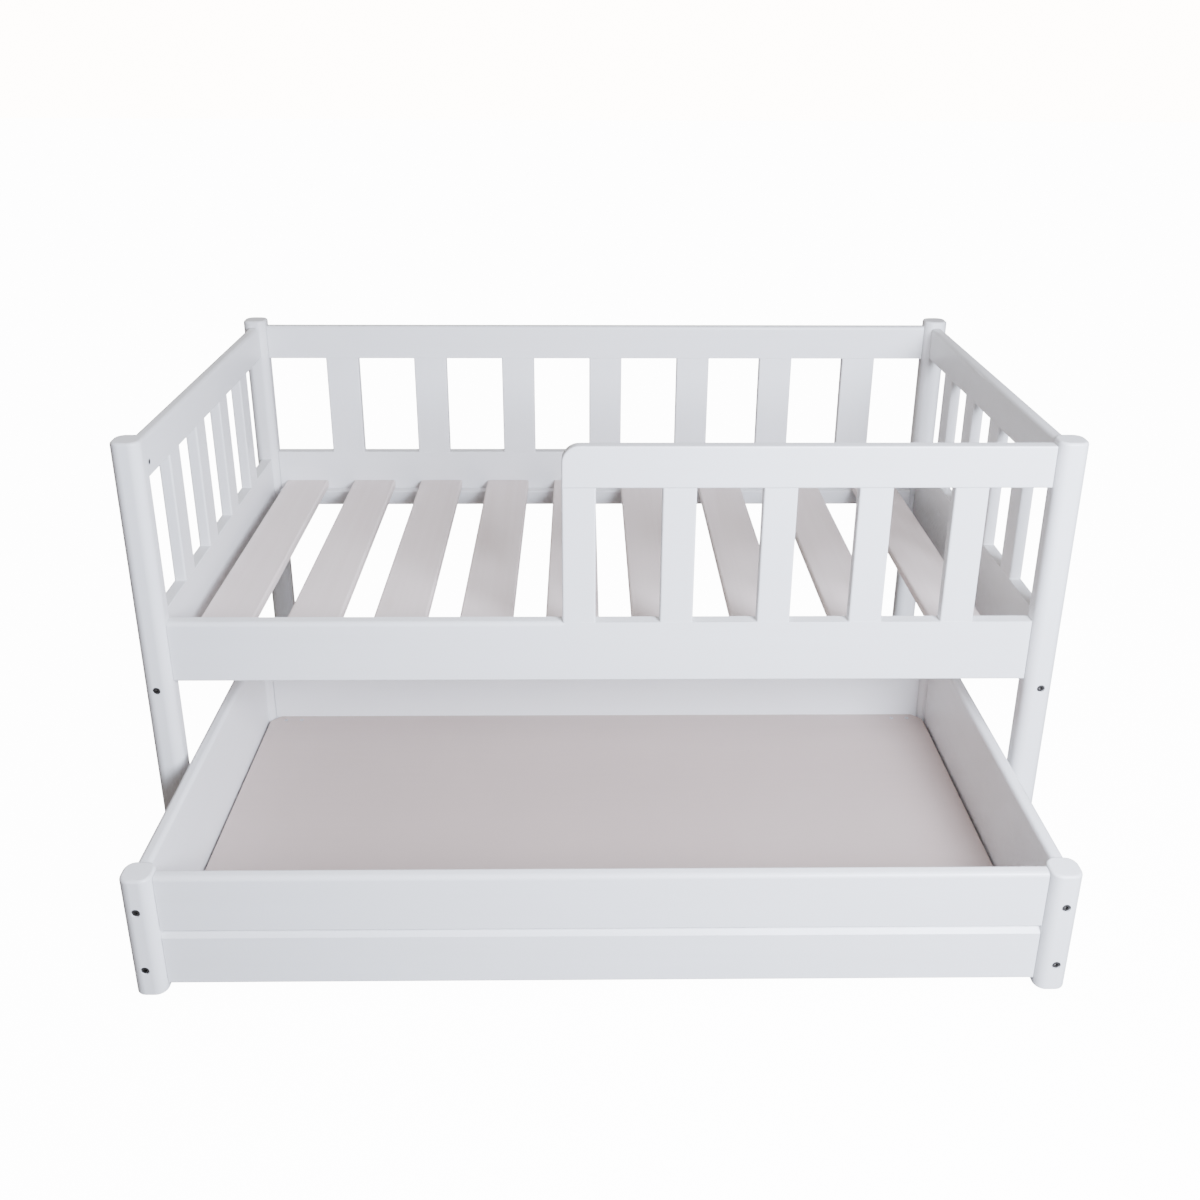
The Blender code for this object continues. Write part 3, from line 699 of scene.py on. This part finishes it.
def slatTree():
    group, given = newTree("slatRow", [
        ("Length", "Float", 0.2), ("Width", "Float", 0.05), ("Thickness", "Float", 0.018),
        ("Rounding", "Float", 0.003), ("Turn", "Rotation", None), ("Seed", "Int", 3),
        ("Finish", "Material", None)])
    get = given.outputs
    half = halfOf(group, get["Length"])
    top = addNode(group, "ShaderNodeCombineXYZ", {"Z": half}).outputs[0]
    foot = addNode(group, "ShaderNodeVectorMath", {0: top, 3: -1.0}, operation="SCALE").outputs[0]
    line = addNode(group, "GeometryNodeCurvePrimitiveLine", {"Start": foot, "End": top}).outputs[0]
    outline = addNode(group, "GeometryNodeCurvePrimitiveQuadrilateral", {
        "Width": get["Width"], "Height": get["Thickness"]}).outputs[0]
    rounded = addNode(group, "GeometryNodeFilletCurve", {
        "Curve": outline, "Radius": get["Rounding"], "Count": slatLook["roundingSteps"]},
        mode="POLY").outputs[0]
    bar = addNode(group, "GeometryNodeCurveToMesh", {
        "Curve": line, "Profile Curve": rounded, "Fill Caps": True}).outputs[0]
    place = addNode(group, "GeometryNodeInputPosition").outputs[0]
    parts = addNode(group, "ShaderNodeSeparateXYZ", {0: place}).outputs
    along = addNode(group, "ShaderNodeCombineXYZ", {"X": parts[2], "Y": parts[0], "Z": parts[1]})
    marked = storeVector(group, bar, "grain", along.outputs[0])
    shift = addNode(group, "FunctionNodeRandomValue", {
        0: (-grainSpread,) * 3, 1: (grainSpread,) * 3, "Seed": get["Seed"]},
        data_type="FLOAT_VECTOR").outputs[0]
    finishTree(group, get["Geometry"], marked, get["Turn"], get["Finish"], shift)
    return group


def numbered(name, count):
    return [f"{name}_{number}" for number in range(1, count + 1)]


def slatRow(nodes, along, wide, rounding=0.003, finish="paint", slot="painted_timber"):
    return {"nodes": nodes, "along": along, "wide": wide, "rounding": rounding,
            "finish": finish, "slot": slot}


slatRows = {
    "backSlats": slatRow(numbered("back_slat", 7), 2, 0),
    "leftSlats": slatRow(numbered("left_slat", 4), 2, 1),
    "rightSlats": slatRow(numbered("right_slat", 4), 2, 1),
    "guardSlats": slatRow(numbered("guard_slat", 5), 2, 0),
    "baseSlats": slatRow(numbered("base_slat", 9), 1, 0, 0.004, "stain", "slat_timber"),
    "ledgers": slatRow(["ledger_front", "ledger_back"], 0, 2, 0.002),
}


def makeSlatRow(tree, name, row, seed):
    boxes = [corners(node) for node in row["nodes"]]
    size = boxes[0][1] - boxes[0][0]
    along, wide = row["along"], row["wide"]
    if along == 2:
        size[along] += slatLook["jointOverlap"]
    thick = 3 - along - wide
    ways = [Vector((0, 0, 0)) for _ in range(3)]    # where the bar's own x, y and z go
    ways[0][wide] = 1.0
    ways[2][along] = 1.0
    ways[1] = ways[2].cross(ways[0])
    turn = Matrix((ways[0], ways[1], ways[2])).transposed().to_euler()
    mesh = grow(tree, name, [(low + high) / 2 for low, high in boxes], None, {
        "Length": size[along], "Width": size[wide], "Thickness": size[thick],
        "Rounding": row["rounding"], "Turn": tuple(turn), "Seed": seed,
        "Finish": finishes[row["finish"]]})
    weighNormals(mesh)
    addPiece(name, mesh, None, "bed_frame", row["nodes"])


slatBar = slatTree()
for seed, (name, row) in enumerate(slatRows.items(), 5):
    makeSlatRow(slatBar, name, row, seed)
print("slats made")


# Fittings: a head or a nut on each point, turned to its facing.
headLook = {"boltSides": 40, "boltChamfer": 0.0004, "nutSides": 32, "nutChamfer": 0.0002,
            "topScale": 0.9, "keySides": 6}


def turnToFacing(group):
    return addNode(group, "FunctionNodeAlignRotationToVector", {
        "Vector": readVector(group, "facing")}, axis="Z").outputs[0]


def lifted(group, shape, height):
    up = addNode(group, "ShaderNodeCombineXYZ", {"Z": height}).outputs[0]
    moved = addNode(group, "GeometryNodeTransform", {"Geometry": shape, "Translation": up})
    return moved.outputs[0]


def chamferedHead(group, radius, depth, sides, chamfer):
    # A short cylinder standing on z = 0, with its top rim chamfered.
    body = addNode(group, "GeometryNodeMeshCylinder", {
        "Vertices": sides, "Radius": radius, "Depth": depth})
    grown = addNode(group, "GeometryNodeExtrudeMesh", {
        "Mesh": body.outputs["Mesh"], "Selection": body.outputs["Top"], "Offset Scale": chamfer})
    eased = addNode(group, "GeometryNodeScaleElements", {
        "Geometry": grown.outputs["Mesh"], "Selection": grown.outputs["Top"],
        "Scale": headLook["topScale"]}).outputs[0]
    return lifted(group, eased, halfOf(group, depth))


def without(group, whole, taken):
    less = addNode(group, "GeometryNodeMeshBoolean", {"Mesh 1": whole, "Mesh 2": taken},
                   operation="DIFFERENCE", solver="EXACT")
    return less.outputs["Mesh"]


def boltTree():
    group, given = newTree("hexBolt", [
        ("Head Radius", "Float", 0.005), ("Head Depth", "Float", 0.005),
        ("Key Radius", "Float", 0.0029), ("Key Depth", "Float", 0.003),
        ("Finish", "Material", None)])
    get = given.outputs
    head = chamferedHead(group, get["Head Radius"], get["Head Depth"], headLook["boltSides"],
                         headLook["boltChamfer"])
    key = addNode(group, "GeometryNodeMeshCylinder", {
        "Vertices": headLook["keySides"], "Radius": get["Key Radius"],
        "Depth": get["Key Depth"]}).outputs["Mesh"]
    shape = without(group, head, lifted(group, key, get["Head Depth"]))
    finishTree(group, get["Geometry"], shape, turnToFacing(group), get["Finish"])
    return group


def crossNutTree():
    group, given = newTree("crossNut", [
        ("Radius", "Float", 0.0041), ("Depth", "Float", 0.0016), ("Slot Length", "Float", 0.02),
        ("Slot Width", "Float", 0.0012), ("Slot Depth", "Float", 0.0014),
        ("Finish", "Material", None)])
    get = given.outputs
    face = chamferedHead(group, get["Radius"], get["Depth"], headLook["nutSides"],
                         headLook["nutChamfer"])
    size = addNode(group, "ShaderNodeCombineXYZ", {
        "X": get["Slot Length"], "Y": get["Slot Width"], "Z": get["Slot Depth"]}).outputs[0]
    slot = addNode(group, "GeometryNodeMeshCube", {"Size": size}).outputs["Mesh"]
    shape = without(group, face, lifted(group, slot, get["Depth"]))
    finishTree(group, get["Geometry"], shape, turnToFacing(group), get["Finish"])
    return group


fittingSizes = {
    "bolt": {"Head Radius": 0.0054, "Head Depth": 0.0048,
             "Key Radius": 0.0029, "Key Depth": 0.0060},
    "nut": {"Radius": 0.0042, "Depth": 0.0014, "Slot Width": 0.0012},
    "screw": {"Head Radius": 0.0034, "Head Depth": 0.0012,
              "Key Radius": 0.0016, "Key Depth": 0.0012},
}
screwPlan = {"fromMiddle": 0.0145, "sunk": 0.0008}


def makeFittings(tree, kind, name, body, places, finish):
    mesh = grow(tree, name, [place for place, way in places], [way for place, way in places],
                {**fittingSizes[kind], "Finish": finishes[finish]})
    weighNormals(mesh)
    addPiece(name, mesh, None, body, [])


hexBolt, crossNut = boltTree(), crossNutTree()
makeFittings(hexBolt, "bolt", "bedBolts", "bed_frame", boltPlaces["bed_frame"], "bolt")
makeFittings(hexBolt, "bolt", "drawerBolts", "drawer", boltPlaces["drawer"], "bolt")
makeFittings(crossNut, "nut", "bedCrossNuts", "bed_frame", nutPlaces, "bolt")


def casterScrewPlaces():
    places = []
    panelTop = corners("drawer_bottom")[1].z
    for number in range(1, 5):
        low, high = corners(f"caster_bracket_{number}")
        middle = (low + high) / 2
        for shift in (-screwPlan["fromMiddle"], screwPlan["fromMiddle"]):
            place = Vector((middle.x + shift, middle.y, panelTop - screwPlan["sunk"]))
            places.append((place, Vector((0, 0, 1))))
    return places


makeFittings(hexBolt, "screw", "casterScrews", "drawer", casterScrewPlaces(), "zinc")
print("fittings made")


# Drawer bottom and casters.
drawerBottomLook = {"cornerCut": 0.0217, "edgeEase": 0.0006}


def makeDrawerBottom():
    # A flat panel, its corners cut to clear the drawer's posts.
    low, high = corners("drawer_bottom")
    shape = boxShape(low, high)
    upright = [edge for edge in shape.edges if isLong(edge, 2)]
    softBevel(shape, upright, drawerBottomLook["cornerCut"], 1)
    flat = [edge for edge in shape.edges if not isLong(edge, 2)]
    softBevel(shape, flat, drawerBottomLook["edgeEase"], 2)
    mesh = meshFrom(shape, "drawer_bottom")
    weighNormals(mesh)
    addPiece("panel_drawer_bottom", mesh, finishes["panel"], "drawer",
             ["drawer_bottom"])


wheelLook = {
    "hubProud": 0.001,
    "boreRadius": 0.0027,
    "treadEase": 0.003,
    "easeSteps": 6,
    "hollowDepth": 0.0012,
    "hollowRadii": (0.0066, 0.0072, 0.0120, 0.0125),
    "hubRadii": (0.0064, 0.0060),
    "chamfer": 0.0003,
    "turns": 56,
}


def wheelProfile(radius, hub):
    # Half of the section as (along the axle, out from it), then the same mirrored.
    look = wheelLook
    half, bore, ease = hub - look["hubProud"], look["boreRadius"], look["treadEase"]
    inner, innerTop, outerTop, outer = look["hollowRadii"]
    side = []
    for step in range(look["easeSteps"] + 1):
        turn = math.radians(90) * step / look["easeSteps"]
        side.append((half - ease + ease * math.sin(turn), radius - ease + ease * math.cos(turn)))
    side += [(half, outer), (half - look["hollowDepth"], outerTop),
             (half - look["hollowDepth"], innerTop), (half, inner),
             (hub - look["chamfer"], look["hubRadii"][0]), (hub, look["hubRadii"][1]),
             (hub, bore + look["chamfer"]), (hub - look["chamfer"], bore)]
    return side + [(-along, out) for along, out in reversed(side)]


def makeWheel(number):
    # Tread, a hollow on each side, a hub and the bore, turned about the axle.
    low, high = corners(f"caster_wheel_{number}")
    middle = (low + high) / 2
    profile = wheelProfile((high.z - low.z) / 2, (high.x - low.x) / 2)
    shape = bmesh.new()
    ring = [shape.verts.new((along, 0.0, out)) for along, out in profile]
    edges = [shape.edges.new((ring[i], ring[(i + 1) % len(ring)])) for i in range(len(ring))]
    bmesh.ops.spin(shape, geom=ring + edges, angle=math.radians(360), steps=wheelLook["turns"],
                   axis=(1, 0, 0), cent=(0, 0, 0), use_merge=True)
    bmesh.ops.remove_doubles(shape, verts=shape.verts, dist=10 * tiny)
    bmesh.ops.translate(shape, vec=middle, verts=shape.verts)
    mesh = meshFrom(shape, f"wheel_{number}")
    weighNormals(mesh)
    addPiece(f"tread_wheel_{number}", mesh, finishes["nylon"], f"wheel_{number}",
             [f"caster_wheel_{number}"])


makeDrawerBottom()
for number in range(1, 5):
    makeWheel(number)
    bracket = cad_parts[f"caster_bracket_{number}"]
    bracket.data.materials.clear()
    bracket.data.materials.append(finishes["zinc"])
print("drawer bottom and casters made")


# Studio: white to the camera, softly lit from the front right.
studio = {
    "floorColour": (0.20, 0.20, 0.20),
    "floorGlow": 14.0,
    "floorSize": 30.0,
    "floorDepth": 0.05,
    "skyColour": (1.0, 0.865, 0.785),
    "skyStrength": 0.33,
    "skyGlow": 16.0,
    "key": {"place": (0.95, -1.8, 1.38), "aim": (0.1, -0.1, 0.35), "size": (0.9, 0.9),
            "power": 198, "colour": (0.79, 0.85, 1.0)},
    "fill": {"place": (-1.2, 1.6, 2.6), "aim": (0.0, 0.1, 0.3), "size": (2.0, 2.0),
             "power": 30, "colour": (0.9, 0.95, 1.0)},
    "cameraPlace": (-0.0276, -1.8792, 1.2816),
    "pitch": 21.596,
    "yaw": 0.868,
    "roll": 0.271,
    "lens": 36.69,
    "sensorWidth": 36.0,
    "shift": -0.0833,
}


def makeFloor():
    half = studio["floorSize"] / 2
    shape = boxShape(Vector((-half, -half, -studio["floorDepth"])), Vector((half, half, 0.0)))
    mesh = meshFrom(shape, "studioFloor")
    floor = bpy.data.objects.new("studioFloor", mesh)
    scene.collection.objects.link(floor)
    finish, group, shader = newFinish("studioFloorPaint", studio["floorColour"], 0.7)
    place = addNode(group, "ShaderNodeTexCoord").outputs["Object"]
    cloudy = noiseOn(group, place, (2.0, 2.0, 2.0))
    group.links.new(toRange(group, cloudy, 0.3, 0.7, 0.66, 0.74), shader.inputs["Roughness"])
    seen = addNode(group, "ShaderNodeLightPath").outputs["Is Camera Ray"]
    glow = addNode(group, "ShaderNodeMath", {0: seen, 1: studio["floorGlow"]},
                   operation="MULTIPLY").outputs[0]
    shader.inputs["Emission Color"].default_value = (1.0, 1.0, 1.0, 1.0)
    group.links.new(glow, shader.inputs["Emission Strength"])
    mesh.materials.append(finish)


def makeLamp(name, lamp):
    light = bpy.data.lights.new(name, "AREA")
    light.shape = "RECTANGLE"
    light.size, light.size_y = lamp["size"]
    light.energy = lamp["power"]
    light.color = lamp["colour"]
    item = bpy.data.objects.new(name, light)
    item.visible_camera = False
    item.location = lamp["place"]
    aim = Vector(lamp["aim"]) - Vector(lamp["place"])
    item.rotation_euler = aim.to_track_quat("-Z", "Y").to_euler()
    scene.collection.objects.link(item)


def makeSky():
    world = bpy.data.worlds.new("studioSky")
    world.use_nodes = True
    group = world.node_tree
    back = group.nodes["Background"]
    back.inputs["Color"].default_value = (*studio["skyColour"], 1.0)
    seen = addNode(group, "ShaderNodeLightPath").outputs["Is Camera Ray"]
    strength = toRange(group, seen, 0.0, 1.0, studio["skyStrength"], studio["skyGlow"])
    group.links.new(strength, back.inputs["Strength"])
    scene.world = world


def makeCamera():
    camera = bpy.data.cameras.new("studioCamera")
    camera.sensor_width = studio["sensorWidth"]
    camera.lens = studio["lens"]
    camera.shift_y = studio["shift"]
    pitch, yaw, roll = (math.radians(studio[key]) for key in ("pitch", "yaw", "roll"))
    right = Vector((math.cos(yaw), -math.sin(yaw), 0))
    level = math.cos(pitch)
    ahead = Vector((math.sin(yaw) * level, math.cos(yaw) * level, -math.sin(pitch)))
    up = right.cross(ahead)
    rolledRight = math.cos(roll) * right + math.sin(roll) * up
    rolledUp = -math.sin(roll) * right + math.cos(roll) * up
    item = bpy.data.objects.new("studioCamera", camera)
    turn = Matrix((rolledRight, rolledUp, -ahead)).transposed().to_4x4()
    item.matrix_world = Matrix.Translation(studio["cameraPlace"]) @ turn
    scene.collection.objects.link(item)
    scene.camera = item


makeFloor()
makeLamp("keyLamp", studio["key"])
makeLamp("fillLamp", studio["fill"])
makeSky()
makeCamera()
print("studio made")
